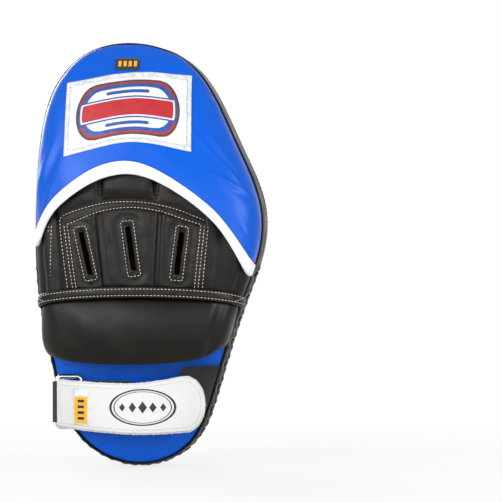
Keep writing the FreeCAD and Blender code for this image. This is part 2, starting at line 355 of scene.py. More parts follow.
def wovenCloth(name, dark, light, thread=0.8, depth=0.12, rough=0.8, sheen=0.2):
    # plain weave: two crossed sets of threads, in the piece's x and z
    material, tree, shader = newMaterial(name, Sheen_Weight=sheen, Roughness=rough)
    where = addNode(tree, "TexCoord").outputs["Object"]
    warp, weft = (addNode(tree, "TexWave", {"Vector": where, "Scale": 1 / (thread * mm) / 20 * 3.2,
                                            "Distortion": 0.4, "Detail": 1.0}, bands_direction=direction)
                  for direction in ("X", "Z"))
    weave = addNode(tree, "Math", {0: warp.outputs["Fac"], 1: weft.outputs["Fac"]}, operation="ADD")
    relief = addNode(tree, "Bump", {"Height": weave.outputs[0], "Strength": 0.5, "Distance": depth * mm})
    return dressed(material, tree, shader, colourDrift(tree, where, dark, light, 1 / (6 * mm)), relief)


def pile(name, dark, light, size=0.7, depth=0.5, sheen=0.5):
    # hook and loop pile: small loops that stand up all over
    material, tree, shader = newMaterial(name, Sheen_Weight=sheen, Sheen_Roughness=0.6, Roughness=0.95)
    where = addNode(tree, "TexCoord").outputs["Object"]
    loops = addNode(tree, "TexVoronoi", {"Vector": where, "Scale": 1 / (size * mm)})
    tufts = addNode(tree, "TexNoise", {"Vector": where, "Scale": 1 / (size * 2.5 * mm), "Detail": 4.0})
    height = addNode(tree, "Math", {0: loops.outputs["Distance"], 1: tufts.outputs["Fac"]}, operation="ADD")
    relief = addNode(tree, "Bump", {"Height": height.outputs[0], "Strength": 0.8, "Distance": depth * mm})
    return dressed(material, tree, shader, colourDrift(tree, where, dark, light, 1 / (1.6 * mm)), relief)


def thread(name, dark, light, rough=0.55):
    # twisted polyester thread
    material, tree, shader = newMaterial(name, Roughness=rough, Sheen_Weight=0.15)
    where = addNode(tree, "TexCoord").outputs["Object"]
    twist = addNode(tree, "TexNoise", {"Vector": where, "Scale": 1 / (0.4 * mm), "Detail": 1.0})
    relief = addNode(tree, "Bump", {"Height": twist.outputs["Fac"], "Strength": 0.4, "Distance": 0.05 * mm})
    return dressed(material, tree, shader, colourDrift(tree, where, dark, light, 1 / (4 * mm)), relief)


def platedSteel(name):
    # nickel plated spring wire: clean mirror with faint drawing marks
    material, tree, shader = newMaterial(name, Metallic=1.0)
    where = addNode(tree, "TexCoord").outputs["Object"]
    marks = addNode(tree, "TexNoise", {"Vector": where, "Scale": 1 / (1.5 * mm), "Detail": 3.0})
    gloss = addNode(tree, "MapRange", {"Value": marks.outputs["Fac"], "To Min": 0.14, "To Max": 0.3})
    tree.links.new(colourDrift(tree, where, "#B9BBBE", "#D3D5D8", 1 / (9 * mm)), shader.inputs["Base Color"])
    tree.links.new(gloss.outputs["Result"], shader.inputs["Roughness"])
    return material


blueLeather = coatedLeather("blueCoatedLeather", "#0052BF", "#0055C5", rough=(0.30, 0.38), shine=0.20)
blackLeather = coatedLeather("blackCoatedLeather", "#0B0805", "#130E08", rough=(0.26, 0.46), shine=0.20,
                             grain=1.2, depth=0.13)
whiteLeather = coatedLeather("whiteCoatedLeather", "#C9C9C8", "#CFCFCE", rough=(0.45, 0.55), depth=0.03)
whiteTape = wovenCloth("whiteBindingTape", "#ECEEF1", "#F6F7F8", thread=0.7, depth=0.06, rough=0.6)
patchCloth = wovenCloth("satinPatchCloth", "#CFD1D4", "#D9DADB", thread=0.9, depth=0.08, rough=0.5)
tagCloth = wovenCloth("wovenTagCloth", "#15120F", "#231F1B", thread=0.7)
labelCloth = wovenCloth("wovenLabelCloth", "#EE9A12", "#F9AC28", thread=0.7)
# near-black lining cloth: partly a real lining, partly painted shade for the inside of the hand pocket
liningClothPaintedShade = wovenCloth("blackLiningPaintedShade", "#050505", "#0A0A0A", thread=0.8, sheen=0.0, rough=0.95)
webbing = wovenCloth("blackWebbing", "#141414", "#232322", thread=1.6, depth=0.35)
blackPile = pile("blackLoopPile", "#080808", "#141413", sheen=0.06)
whitePile = pile("whitePile", "#C3C4C3", "#D6D6D5")
whiteFoam = wovenCloth("whiteSpacerCloth", "#EBEDEF", "#FAFAFA", thread=1.2, depth=0.12, rough=0.85)
paleThread = thread("beigeThread", "#B5A89C", "#D2C8BE")
blackThread = thread("blackThread", "#2B2723", "#443D36")
# the real thread is white; its grey tone here is painted shade along the sunk stitch lines
whiteThreadPaintedShade = thread("whiteThreadPaintedShade", "#A3A5A4", "#C0C2C1")
greyThread = thread("greySatinThread", "#B9BDC4", "#D6D9DE", rough=0.45)
redThread = thread("redSatinThread", "#9E0F1A", "#B01721", rough=0.5)
navyThread = thread("navySatinThread", "#173A7C", "#23509C", rough=0.45)
silverCloth = wovenCloth("silverWovenCloth", "#C9CCCF", "#E3E5E7", thread=0.7)
blackPrint = coatedLeather("blackInk", "#141415", "#1D1D1E", rough=(0.4, 0.5), depth=0.02)
steel = platedSteel("platedSteelWire")
print("materials ready")


def coons(u, v):
    # the outline filled in: u from the little-finger side to the thumb side, v from the tip up
    footA, footB = tipStation - size // 10, tipStation + size // 10
    headA, headB = topStation + size - size // 9, topStation + size + size // 9

    def at(start, end, t):
        s = start + (end - start) * t
        i = int(math.floor(s))
        a, b = rim[i % size], rim[(i + 1) % size]
        return a + (b - a) * (s - i)

    low, high = at(footA, footB, u), at(headB, headA, u)
    left, right = at(footA, headB - size, v), at(footB, headA, v)
    lowLeft, lowRight = at(footA, footB, 0), at(footA, footB, 1)
    highLeft, highRight = at(headB, headA, 0), at(headB, headA, 1)
    inside = (1 - v) * low + v * high + (1 - u) * left + u * right
    corners = ((1 - u) * (1 - v) * lowLeft + u * (1 - v) * lowRight
               + (1 - u) * v * highLeft + u * v * highRight)
    return inside - corners


rimStep = np.roll(rim, -1, 0) - rim


def toEdge(x, height):
    # distance in from the outline
    along = np.clip((((x, height) - rim) * rimStep).sum(1) / (rimStep ** 2).sum(1), 0, 1)
    return float(np.sqrt(((rim + rimStep * along[:, None] - (x, height)) ** 2).sum(1).min()))


facePad = {"shoulder": 14.0, "crown": 5.4, "dome": 2.8, "columns": 90, "rows": 150, "skin": 1.2}


def faceY(x, height):
    depth = toEdge(x, height)
    t = 1 - min(depth / facePad["shoulder"], 1)
    rise = facePad["crown"] * math.sqrt(max(1 - t * t, 0)) + facePad["dome"] * smoothStep(0, 60, depth)
    soft = noise.noise(Vector((x, height, 3)) / 45) * 0.5 * smoothStep(4, 30, depth)
    return backAt(height) - mitt["wall"] - rise - soft


def facePoint(u, v):
    x, height = coons(eased(u), eased(v))
    return spot(x, faceY(x, height), height)


face = newPiece("strikingFace", gridPiece(facePad["columns"], facePad["rows"], facePoint), blueLeather,
                replaces=("striking_face_cover", "striking_foam", "backing_foam"))
solid(face, facePad["skin"])

backPad = {"puff": 2.2, "shoulder": 7.0, "columns": 70, "rows": 120, "skin": 1.2}


def backPoint(u, v):
    x, height = coons(eased(u), eased(v))
    depth = toEdge(x, height)
    t = 1 - min(depth / backPad["shoulder"], 1)
    rise = backPad["puff"] * (math.sqrt(max(1 - t * t, 0)) - 1)
    return spot(x, backAt(height) + rise - 0.1, height)


back = newPiece("backPanel", gridPiece(backPad["columns"], backPad["rows"], backPoint), blueLeather,
                replaces=("back_panel",))
solid(back, backPad["skin"])

# the side wall: stations round the outline, columns from the face seam (0) to the back seam (1)
sideWall = {"seam": 187.0,       # height where the upper and lower wall are sewn together
            "slitTop": 150.0, "slitFront": 13.0, "slitRear": 25.0, "slitRound": 9,
            "pitch": 17.5,       # from lace to lace
            "bulge": 1.5, "columns": 16, "skin": 1.4}
stationStep = rimLength / len(rim)


def stationsBelow(height):
    # outline stations of the lower part, from the little-finger side round the tip to the thumb side
    return [i for i in range(topStation, topStation + size) if rim[i % size][1] < height]


slitStations = stationsBelow(sideWall["slitTop"])
slitSteps = len(slitStations) - 1
laceCount = int(slitSteps * stationStep / sideWall["pitch"])
laceStations = [slitStations[0] + slitSteps * (i + 0.55) / (laceCount + 0.1) for i in range(laceCount)]


def nearestLace(station):
    # distance along the edge to the nearest lace, and the spacing phase from 0 at a lace to 1 midway
    gap = min(abs(station - s) for s in laceStations) * stationStep
    return gap, min(gap / (sideWall["pitch"] / 2), 1.0)


def slitEdges(station):
    # front and rear edge of the slit, as distances from the face seam
    run = min(station - slitStations[0], slitStations[-1] - station) * stationStep
    gape = quarterRound(min(max(run, 0) / sideWall["slitRound"], 1))
    gap, phase = nearestLace(station)
    middle = (sideWall["slitFront"] + sideWall["slitRear"]) / 2
    half = (sideWall["slitRear"] - sideWall["slitFront"]) / 2
    scallop = 1 - bump(gap, 2.4)
    front = middle - half * gape * (0.90 + 0.12 * scallop)
    rear = middle + half * gape * (0.76 + 0.38 * scallop - 0.06 * phase)
    return front, rear


def wallPoint(station, depth, lift):
    # a point of the side wall: depth from the face seam towards the back, lift outwards
    i = int(math.floor(station)) % size
    f = station - math.floor(station)
    x, height = rim[i] * (1 - f) + rim[(i + 1) % size] * f
    out = rimOut[i] * (1 - f) + rimOut[(i + 1) % size] * f
    return spot(x + out[0] * lift, backAt(height) - mitt["wall"] + depth, height + out[1] * lift)


def wallPiece(name, first, last, edges, bulge, steps, replaces=()):
    # a strip of the wall between two depths that change along it
    def place(u, v):
        station = first + (last - first) * v
        near, far = edges(station)
        depth = near + (far - near) * u
        return wallPoint(station, depth, bulge(station, depth, u))
    bm = gridPiece(sideWall["columns"], steps, place)
    return solid(newPiece(name, bm, blackLeather, replaces=replaces), sideWall["skin"])


def upperBulge(station, depth, u):
    at = wallPoint(station, depth, 0)
    ripple = noise.noise(at / (14 * mm)) * 0.5
    return (sideWall["bulge"] + ripple) * math.sin(math.pi * u) ** 0.7


seamLow = stationsBelow(sideWall["seam"])
wallPiece("upperWall", seamLow[-1], seamLow[0] + size, lambda s: (0.0, mitt["wall"]), upperBulge, 360,
          replaces=("upper_gusset",))


def pucker(station, depth, edge, seam):
    # folds that run from each lace hole into the leather
    gap = nearestLace(station)[0]
    reach = abs(depth - edge) / max(abs(edge - seam), 0.1)
    fold = -0.9 * bump(gap, 2.2) * (1 - reach) ** 0.8 * min(reach * 6, 1)
    crest = 0.75 * bump(gap - 5.0, 2.4) * math.sin(math.pi * min(reach * 1.2, 1))
    return fold + crest


def lowerBulge(front):
    def lift(station, depth, u):
        edge, seam = (slitEdges(station)[0], 0.0) if front else (slitEdges(station)[1], mitt["wall"])
        roundness = sideWall["bulge"] * math.sin(math.pi * u) ** 0.7
        inSlit = slitStations[0] <= station <= slitStations[-1]
        ripple = noise.noise(wallPoint(station, depth, 0) / (10 * mm)) * 0.35 * math.sin(math.pi * u)
        return roundness + ripple + (pucker(station, depth, edge, seam) if inSlit else 0)
    return lift


for name, isFront, edges in (("lowerWallFront", True, lambda s: (0.0, slitEdges(s)[0])),
                             ("lowerWallRear", False, lambda s: (slitEdges(s)[1], mitt["wall"]))):
    wallPiece(name, seamLow[0], seamLow[-1], edges, lowerBulge(isFront), 900, replaces=("lower_gusset",))

# white layer behind the slit, quilted a little by the laces
whiteLayer = {"inset": 1.2, "front": 8, "wide": 22, "quilting": 0.9}


def whitePoint(u, v):
    station = slitStations[0] - 6 + (len(slitStations) + 11) * v
    phase = nearestLace(station)[1]
    swell = whiteLayer["quilting"] * math.sin(math.pi * u) * math.sin(phase * math.pi / 2)
    lift = -whiteLayer["inset"] + swell
    return wallPoint(station, whiteLayer["front"] + whiteLayer["wide"] * u, lift)


solid(newPiece("whiteLayer", gridPiece(12, 700, whitePoint), whiteFoam, replaces=("core_foam",)), 1.0)

laces = {"wide": 2.7, "thick": 1.2,
         "reach": 2.6}            # how far a lace goes past the slit's edges


def laceTurns():
    # one flat turn over the slit per lace hole, wider and sunk where it goes into the leather
    bm = bmesh.new()
    for station in laceStations:
        front, rear = slitEdges(station)
        front, rear = front - laces["reach"], rear + laces["reach"]
        made = bmesh.ops.create_cube(bm, size=1)["verts"]
        edges = list({e for v in made for e in v.link_edges
                      if abs((e.verts[0].co - e.verts[1].co).y) > 0.5})
        bmesh.ops.subdivide_edges(bm, edges=edges, cuts=11, use_grid_fill=True)
        bm.verts.ensure_lookup_table()
        turn = [v for v in bm.verts if not v.tag]
        for vertex in turn:
            t = vertex.co.y + 0.5
            width = laces["wide"] * (1 + 0.5 * (2 * t - 1) ** 4)
            sink = 1.9 * (2 * t - 1) ** 6
            arch = 1.5 + 0.5 * math.sin(math.pi * t) - sink
            slide = 1.5 * math.sin(2 * math.pi * t) * 0.35
            vertex.co = wallPoint(station + (vertex.co.x * width + slide) / stationStep,
                                  front + (rear - front) * t, arch + vertex.co.z * laces["thick"])
            vertex.tag = True
    bmesh.ops.bevel(bm, geom=[e for e in bm.edges if e.calc_face_angle(0) > 0.9], offset=0.3 * mm, segments=2,
                    affect="EDGES", profile=0.5, material=-1)
    return bm


newPiece("laces", laceTurns(), blackLeather, replaces=("edge_laces",))

# thin welt in the seam between the face and the side wall, and a second one at the back
weltLoop = [wallPoint(i, 0.0, 0.25) for i in range(0, size, 2)]
closedTube(weltLoop, 0.95, "faceWelt", blackLeather, replaces=("face_piping",))
backLoop = [wallPoint(i, mitt["wall"] - 0.2, 0.1) for i in range(0, size, 2)]
closedTube(backLoop, 0.75, "backWelt", blackLeather)

# black lining on the pad's back inside the hand pocket; partly a real lining, and made near black so that it
# is also painted shade for the pocket seen through the finger slots
lining = {"low": 104.0, "high": 292.0, "inset": 6.0}


def liningPoint(u, v):
    height = lining["low"] + (lining["high"] - lining["low"]) * v
    little, thumb = edgeX(height)
    x = little - lining["inset"] + (thumb - little + 2 * lining["inset"]) * u
    return spot(x, backAt(height) + 0.9, height)


solid(newPiece("pocketLining", gridPiece(30, 60, liningPoint), liningClothPaintedShade), 0.7)
print("pad made")

# the arches over the hand: how far each stands off the pad's back, as height, rise; the hood's mouth
# and the panel's top edge are drawn as x, height
hand = {
    "panelRise": [(118, 29.5), (150, 30), (190, 29), (222, 26), (250, 20)],
    "hoodRise": [(128, 37), (165, 38), (205, 37.5), (235, 32), (262, 25), (285, 16.5), (300, 8.5),
                 (307.5, 3.2), (309.8, 0.6)],
    "cushionRise": [(74, 31), (84, 34.5), (100, 35.5), (114, 34), (124, 30)],
    "hoodMouth": [(84, 132), (73, 160), (56, 188), (20, 211), (-15, 210), (-60, 179), (-87, 135), (-96, 116)],
    "panelTop": [(55, 181), (46.5, 186.6), (23, 193.4), (3.7, 194.9), (-14, 193.7), (-31.8, 189.6),
                 (-43.6, 185.2), (-58, 179)],
    "seam": (119.4, 8.0),    # knuckle seam: height at the pad's sides, and how far it bows up between
}


def smoothLine(points, count):
    # even steps along a smooth open curve through the points (Catmull-Rom)
    at = [np.array(points[0], float) * 2 - points[1]] + [np.array(p, float) for p in points]
    at.append(at[-1] * 2 - at[-2])
    fine = []
    for i in range(1, len(at) - 2):
        p0, p1, p2, p3 = at[i - 1:i + 3]
        for t in np.arange(0, 1, 0.02):
            fine.append(0.5 * (2 * p1 + (p2 - p0) * t + (2 * p0 - 5 * p1 + 4 * p2 - p3) * t ** 2
                               + (3 * p1 - p0 - 3 * p2 + p3) * t ** 3))
    return evenSteps(np.array(fine + [at[-2]]), count)[0]


riseCurves = {key: lookUp(smoothLine(hand[key], 80)) for key in ("panelRise", "hoodRise", "cushionRise")}
mouthHeight = lookUp(smoothLine(hand["hoodMouth"], 200))
panelTop = lookUp(smoothLine(hand["panelTop"], 100))


def archShape(angle):
    # flatter over the middle and steeper at the sides than a half circle
    return max(math.sin(angle), 0) ** 0.62


def archPoint(kind, inset, angle, height, lift=0.0):
    # a point of an arch; the angle runs from 0 at the little-finger side to pi at the thumb side
    middle, half = padAcross(height)
    half = max(half - inset + lift, 0.05)
    rise = max(riseCurves[kind](height) + lift, 0)
    return spot(middle + half * math.cos(angle), backAt(height) + rise * archShape(angle), height)


def angleAt(x, height, inset):
    middle, half = padAcross(height)
    return math.acos(min(max((x - middle) / (half - inset), -1), 1))


def normalOf(place, x, height):
    across = place(x - 0.6, height) - place(x + 0.6, height)
    up = place(x, height + 0.6) - place(x, height - 0.6)
    normal = across.cross(up)
    return normal.normalized() if normal.length > 1e-9 else Vector((0, 1, 0))


hoodShape = {"inset": 0.6, "columns": 120, "rows": 110, "skin": 2.2, "top": 309.6,
             # soft dents and folds: x, height, length, width, turn in degrees, depth
             "folds": [(-64, 222, 64, 1.9, 47, 1.7), (-67, 218, 58, 3.4, 47, -1.2),
                       (-74, 205, 30, 1.9, 28, 1.4), (-76, 201, 30, 3.2, 28, -0.9),
                       (-57, 240, 36, 2.4, 52, 0.9), (-54, 268, 20, 2.0, 37, 1.0),
                       (-84, 170, 22, 2.6, 62, 0.9), (66, 214, 42, 2.8, -71, 1.5),
                       (61, 211, 42, 3.2, -70, -1.0), (62, 196, 30, 2.4, -76, 0.9), (-30, 222, 40, 7, 38, 0.8),
                       (40, 297, 22, 5, -30, 0.9), (-36, 299, 26, 4, 26, 1.0), (-58, 276, 24, 4, 44, 0.9)]}


def hoodDent(x, height):
    # the folds and the slow swell of soft leather
    total = 0.0
    for foldX, foldHeight, length, width, turn, depth in hoodShape["folds"]:
        a = math.radians(turn)
        dx, dh = x - foldX, height - foldHeight
        along, over = dx * math.cos(a) + dh * math.sin(a), -dx * math.sin(a) + dh * math.cos(a)
        total += depth * bump(along, length / 2) * bump(over, width)
    soft = noise.noise(Vector((x, height, 0)) / 26) * 0.7 + noise.noise(Vector((x, height, 9)) / 11) * 0.22
    return total * 0.95 + soft


def hoodArch(angle, height):
    return archPoint("hoodRise", hoodShape["inset"], angle, height)


def hoodFace(x, height):
    return hoodArch(angleAt(x, height, hoodShape["inset"]), height)


def hoodAngle(u):
    # closer steps near both sides, where the arch turns down to the pad
    return math.pi * eased(u) * 0.96 + math.pi * u * 0.04


def hoodAcross(angle, v):
    # height where the line at this angle starts, found on the mouth's curve, then up to the top
    height = 150.0
    for _ in range(12):
        middle, half = padAcross(height)
        x = middle + (half - hoodShape["inset"]) * math.cos(angle)
        height += (mouthHeight(x) - height) * 0.7
    return height + (hoodShape["top"] - height) * v


def hoodOut(angle, height, turn, up):
    # the way out of the arch, from a small turn to both sides and a short line up it
    side = hoodArch(min(angle + turn, math.pi), height) - hoodArch(max(angle - turn, 0), height)
    out = side.cross(up)
    out = out.normalized() if out.length > 1e-10 else Vector((0, 1, 0))
    return -out if out.y < 0 else out


def hoodPoint(u, v):
    angle = hoodAngle(u)
    height = hoodAcross(angle, 1 - (1 - v) ** 1.25)
    base = hoodArch(angle, height)
    up = hoodArch(angle, min(height + 0.5, hoodShape["top"] + 0.1)) - hoodArch(angle, height - 0.5)
    calm = math.sin(math.pi * u) ** 0.5 * smoothStep(0, 0.05, 1 - v)
    return base + hoodOut(angle, height, 0.02, up) * (hoodDent(base.x / mm, height) * calm) * mm


hood = newPiece("fingerHood", gridPiece(hoodShape["columns"], hoodShape["rows"], hoodPoint), blueLeather,
                replaces=("finger_hood",))
solid(hood, hoodShape["skin"])

# white tape folded over the mouth's edge
tape = {"width": 8.2, "thick": 1.0, "steps": 220}


def tapePoint(u, v):
    # v runs round the tape's section: outside down to the edge, round it and up inside
    angle = hoodAngle(u)
    wrap = v * 2 - 1
    rise = tape["width"] * abs(wrap) - 0.9 * (1 - min(abs(wrap) * 6, 1) ** 2)
    lift = (tape["thick"] if wrap < 0 else -hoodShape["skin"] - tape["thick"])
    middle = -hoodShape["skin"] / 2
    lift = middle + (lift - middle) * quarterRound(min(abs(wrap) * 5, 1))
    height = hoodAcross(angle, 0.0) + rise
    base = hoodArch(angle, height)
    return base + hoodOut(angle, height, 0.01, hoodArch(angle, height + 0.6) - base) * lift * mm


solid(newPiece("mouthBinding", gridPiece(tape["steps"], 24, tapePoint), whiteTape,
               replaces=("hood_binding",)), 0.5)
print("hood made")

sew = {"pitch": 2.6, "long": 1.75, "wide": 0.6}
seamHeight = 124.0               # where the pad's width is taken for the knuckle seam


def handPoint(kind, inset, x, height, lift=0.0):
    # a point lifted off an arch at a given x, along the arch's own normal
    def place(ax, ah):
        return archPoint(kind, inset, angleAt(ax, ah, inset), ah)
    base = place(x, height)
    return base + normalOf(place, x, height) * lift * mm


def fingerSeam(x):
    # the knuckle seam bows up a little over the middle of the hand
    middle, half = padAcross(seamHeight)
    low, bow = hand["seam"]
    return low + bow * math.sqrt(max(1 - ((x - middle) / half) ** 2, 0))


panel = {"inset": 4.5, "skin": 1.7, "columns": 190, "rows": 110, "top": (52, -56), "foot": (46, -51),
         "slots": [((37, 171), (30, 140)), ((2.5, 175), (-2, 143)), ((-37, 171), (-33, 140))],
         "slotWidth": 4.6,
         "frame": 4.6,            # stitching round a slot, from its middle line
         "ridges": [((24.3, 186), (18.2, 128)), ((-21.5, 189), (-18.3, 128))]}

# sewing on the panel, as x, height: two rows along its top, three down each side
arcRows = [[(53.5, 180.5), (46.5, 184.8), (22.9, 191.6), (3.7, 193.0), (-14, 191.8), (-31.8, 187.7),
            (-43.6, 183.3), (-56, 178)],
           [(47.8, 176.4), (22.9, 185.8), (0.7, 188.8), (-20, 186.2), (-34.8, 181.4), (-50.6, 176.2)]]
sideRows = [[(53.5, 180.5), (46.8, 130)], [(49.6, 176), (43, 130)], [(47.2, 176), (40.4, 130)],
            [(-56, 178), (-51.2, 130)], [(-53.2, 176), (-48.2, 130)], [(-50.6, 176.2), (-45.6, 130)]]


def slotFrame(top, foot):
    # rounded stitched box round a slot, wider than the slot and longer at both ends
    top, foot = np.array(top, float), np.array(foot, float)
    along = (top - foot) / np.linalg.norm(top - foot)
    over = np.array([-along[1], along[0]])
    w, reach = panel["frame"], panel["frame"] - 0.6
    corners = [top + along * reach + over * w, top + along * reach - over * w,
               foot - along * reach - over * w, foot - along * reach + over * w]
    line = []
    for i in range(4):
        a, b = corners[i], corners[(i + 1) % 4]
        span = np.linalg.norm(b - a)
        line += [a + (b - a) * s / span for s in np.arange(1.3, span - 1.2, 0.8)]
    return line + line[:1]


frameRows = [slotFrame(top, foot) for top, foot in panel["slots"]]
rowPoints = np.concatenate([smoothLine(row, 140) for row in arcRows + sideRows] + frameRows)


def nearRow(x, height):
    return float(np.sqrt(((rowPoints - (x, height)) ** 2).sum(1).min()))


def fromLine(x, height, a, b):
    # signed distance across a line, and how far along it, 0 to 1
    a, b = np.array(a, float), np.array(b, float)
    way = b - a
    t = float(((x, height) - a) @ way / (way @ way))
    away = (x, height) - (a + way * t)
    return float(way[0] * away[1] - way[1] * away[0]) / np.linalg.norm(way), t


def panelLift(x, height):
    # how far the panel stands off its arch: ridges between the fingers, raised slots, sunken sewing
    low, high = fingerSeam(x), panelTop(x)
    fade = smoothStep(0, 7, height - low) * smoothStep(0, 7, high - 4 - height)
    lift = 1.5 * fade
    for a, b in panel["ridges"]:
        across, t = fromLine(x, height, a, b)
        ends = smoothStep(-0.02, 0.10, t) * smoothStep(-0.02, 0.10, 1 - t)
        crest = 1.7 * bump(across, 1.5) - 1.0 * bump(across - 3.6, 2.0) - 0.7 * bump(across + 4.2, 2.6)
        lift += crest * ends
    for top, foot in panel["slots"]:
        across, t = fromLine(x, height, top, foot)
        ends = max(0, t - 1, -t) * 32
        near = math.hypot(across, ends)
        lift += 0.8 * bump(near - 3.4, 1.6) - 0.9 * bump(near - 7.5, 2.6) * fade - 1.3 * bump(near, 2.9)
    lift -= 0.75 * bump(nearRow(x, height), 0.9)
    coarse, fine = noise.noise(Vector((x, height, 5)) / 10), noise.noise(Vector((x, height, 7)) / 3.5)
    return lift + (0.4 * coarse * fade + 0.1 * fine * fade)


def panelSides(v, side):
    return panel["foot"][side] + (panel["top"][side] - panel["foot"][side]) * v


def panelPoint(u, v):
    x = panelSides(v, 0) + (panelSides(v, 1) - panelSides(v, 0)) * u
    high = panelTop(x)
    low = fingerSeam(x) - 2.5
    height = low + (high - low) * v
    return handPoint("panelRise", panel["inset"], x, height, panelLift(x, height))


def evaluatedMesh(piece):
    # the piece's modifiers made part of its mesh
    made = finishedMesh(piece)
    piece.modifiers.clear()
    piece.data = made
    for polygon in made.polygons:
        polygon.use_smooth = True


def cutSlots(piece):
    cutters = bmesh.new()
    for top, foot in panel["slots"]:
        top, foot = (handPoint("panelRise", panel["inset"], *at) for at in (top, foot))
        way = (top - foot).normalized()
        side = way.cross(Vector((0, 1, 0))).normalized()
        turn = Matrix((side, way.cross(side), way)).transposed().to_4x4()
        form = Matrix.Diagonal((panel["slotWidth"] * 0.8 * mm, 24 * mm, (top - foot).length, 1))
        block = bmesh.ops.create_cube(cutters, size=1,
                                      matrix=Matrix.Translation((top + foot) / 2) @ turn @ form)
        corners = {e for v in block["verts"] for e in v.link_edges
                   if abs((e.verts[0].co - e.verts[1].co).dot(side.cross(way))) > 10 * mm}
        bmesh.ops.bevel(cutters, geom=list(corners), offset=1.6 * mm, segments=4, affect="EDGES",
                        profile=0.5, material=-1)
    mesh = bpy.data.meshes.new("slotCutters")
    cutters.to_mesh(mesh)
    cutters.free()
    cutter = bpy.data.objects.new("slotCutters", mesh)
    bpy.context.scene.collection.objects.link(cutter)
    cut = piece.modifiers.new("slots", "BOOLEAN")
    cut.operation, cut.solver, cut.object = "DIFFERENCE", "EXACT", cutter
    evaluatedMesh(piece)
    bpy.data.objects.remove(cutter)


slotted = newPiece("fingerPanel", gridPiece(panel["columns"], panel["rows"], panelPoint), blackLeather,
                   replaces=("finger_panel",))
solid(slotted, panel["skin"])
cutSlots(slotted)


def panelStitch(row):
    path = []
    for x, height in smoothLine(row, 260):
        low, high = (handPoint("panelRise", panel["inset"], x, height, panelLift(x, height) + up)
                     for up in (0.28, 3.0))
        path.append(threadPoint(low, high))
    return path


stitches("panelStitching", [panelStitch(row) for row in arcRows + sideRows + frameRows], paleThread, **sew)

# the finger channel above the panel: one stuffed bump between two pleats, running up under the hood
channel = {"ends": (22.5, -17.0), "top": 232.0, "columns": 130, "rows": 70, "rise": 3.4, "lean": 0.05,
           "sides": (55, -59.5)}


def channelLift(x, height):
    low = panelTop(x)
    up = height - low
    a, b = channel["ends"]
    lean = channel["lean"] * (height - 200)
    inside = min(a + lean - x, x - b + lean)
    start = smoothStep(0.5, 9, up) ** 0.6
    lift = channel["rise"] * quarterRound(min(max(inside / 7.0, 0), 1)) * start
    lift -= 1.6 * (bump(x - a - lean - 1.2, 1.6) + bump(x - b + lean + 1.2, 1.6)) * smoothStep(0, 5, up)
    side = smoothStep(2, 12, -inside)
    lift += 1.0 * side * smoothStep(0, 8, up)
    lift += 0.4 * noise.noise(Vector((x, height, 2)) / 10) * smoothStep(0, 5, up)
    return lift - 0.5 * bump(up, 1.4)


def channelPoint(u, v):
    first, last = channel["sides"]
    x = first + (last - first) * u
    low = panelTop(x) - 1.5
    height = low + (channel["top"] - low) * v
    little, thumb = edgeX(height)
    x = min(max(x, thumb + panel["inset"] + 5), little - panel["inset"] - 5)
    return handPoint("panelRise", panel["inset"], x, height, channelLift(x, height) - 0.4)


solid(newPiece("fingerChannel", gridPiece(channel["columns"], channel["rows"], channelPoint), blackLeather,
               replaces=("finger_channel",)), 1.6)
pleatRows = []
for pleatX, lean in ((channel["ends"][0] + 1.2, channel["lean"]),
                     (channel["ends"][1] - 1.2, -channel["lean"])):
    for shift in (-1.3, 1.3):
        row = []
        for height in np.arange(195.0, 210.0, 0.6):
            x = pleatX + shift + lean * (height - 200)
            base = handPoint("panelRise", panel["inset"], x, height, channelLift(x, height) + 0.1)
            row.append((base, Vector((0, 1, 0))))
        pleatRows.append(row)
stitches("pleatStitching", pleatRows, blackThread, **sew)


def webPoint(side):
    # the strip from the panel's side round to the pad's edge
    def place(u, v):
        height = 120.5 + (202 - 120.5) * v
        x = panelSides(min(max((height - 124) / 60, 0), 1.3), side) + (-1.5, 1.5)[side]
        start = angleAt(x, height, panel["inset"])
        angle = start + ((0.0, math.pi)[side] - start) * u ** 0.85
        height += -3.2 * (1 - math.sin(angle)) * (1 - v)
        fold = -1.9 * bump(u - 0.17, 0.09) + 1.6 * bump(u - 0.40, 0.14) - 0.9 * bump(u - 0.62, 0.06)
        fold += 0.5 * noise.noise(Vector((u * 3, height / 11, side * 4)))
        calm = math.sin(math.pi * u) ** 0.4 * smoothStep(0, 0.12, v)
        out = (panel["inset"] - 0.4) * smoothStep(0.45, 1, u)
        return archPoint("panelRise", panel["inset"] - out, angle, height, fold * calm)
    return place


for side, (name, node) in enumerate((("littleFingerWeb", "pinky_side_web"), ("thumbWeb", "thumb_side_web"))):
    solid(newPiece(name, gridPiece(46, 70, webPoint(side)), blackLeather, replaces=(node,)), 1.6)

webRows = []
for side, points in ((0, [(61.5, 176), (62.3, 152), (62.5, 130)]), (1, [(-77, 152), (-74, 140), (-71, 130)])):
    for shift in (0, 2.4):
        row = []
        for x, height in smoothLine(points, 80):
            x += shift * (-1, 1)[side]
            low, high = (handPoint("panelRise", panel["inset"], x, height, up) for up in (0.8, 3.0))
            row.append(threadPoint(low, high))
        webRows.append(row)
stitches("webStitching", webRows, paleThread, **sew)
print("finger parts made")

band = {"half": 4.4, "thick": 1.5, "steps": 170, "inset": 0.6,
        "rise": [(110, 33.0), (118, 32.6), (124, 32.0), (130, 31.6), (136, 31.2)]}

bandRise = lookUp(band["rise"])


def bandPoint(angle, across, lift):
    middle, half = padAcross(seamHeight)
    half = half - band["inset"] + lift
    height = hand["seam"][0] + hand["seam"][1] * math.sin(angle) + across
    rise = bandRise(height) + lift
    return spot(middle + half * math.cos(angle), backAt(height) + rise * archShape(angle), height)


def bandGrid(u, v):
    w = 2 * v - 1
    ripple = 0.25 * noise.noise(Vector((u * 30, v * 2, 1)))
    lift = band["thick"] * (1 - w ** 6) - 0.5 * bump(abs(w) - 0.52, 0.12) + ripple
    return bandPoint(math.pi * eased(u), band["half"] * w, lift)


def bandThread(angle, across, up):
    # a point of a row sewn on the band
    place = bandPoint(angle, across, band["thick"] + up)
    return threadPoint(place, bandPoint(angle, across, band["thick"] + 3))


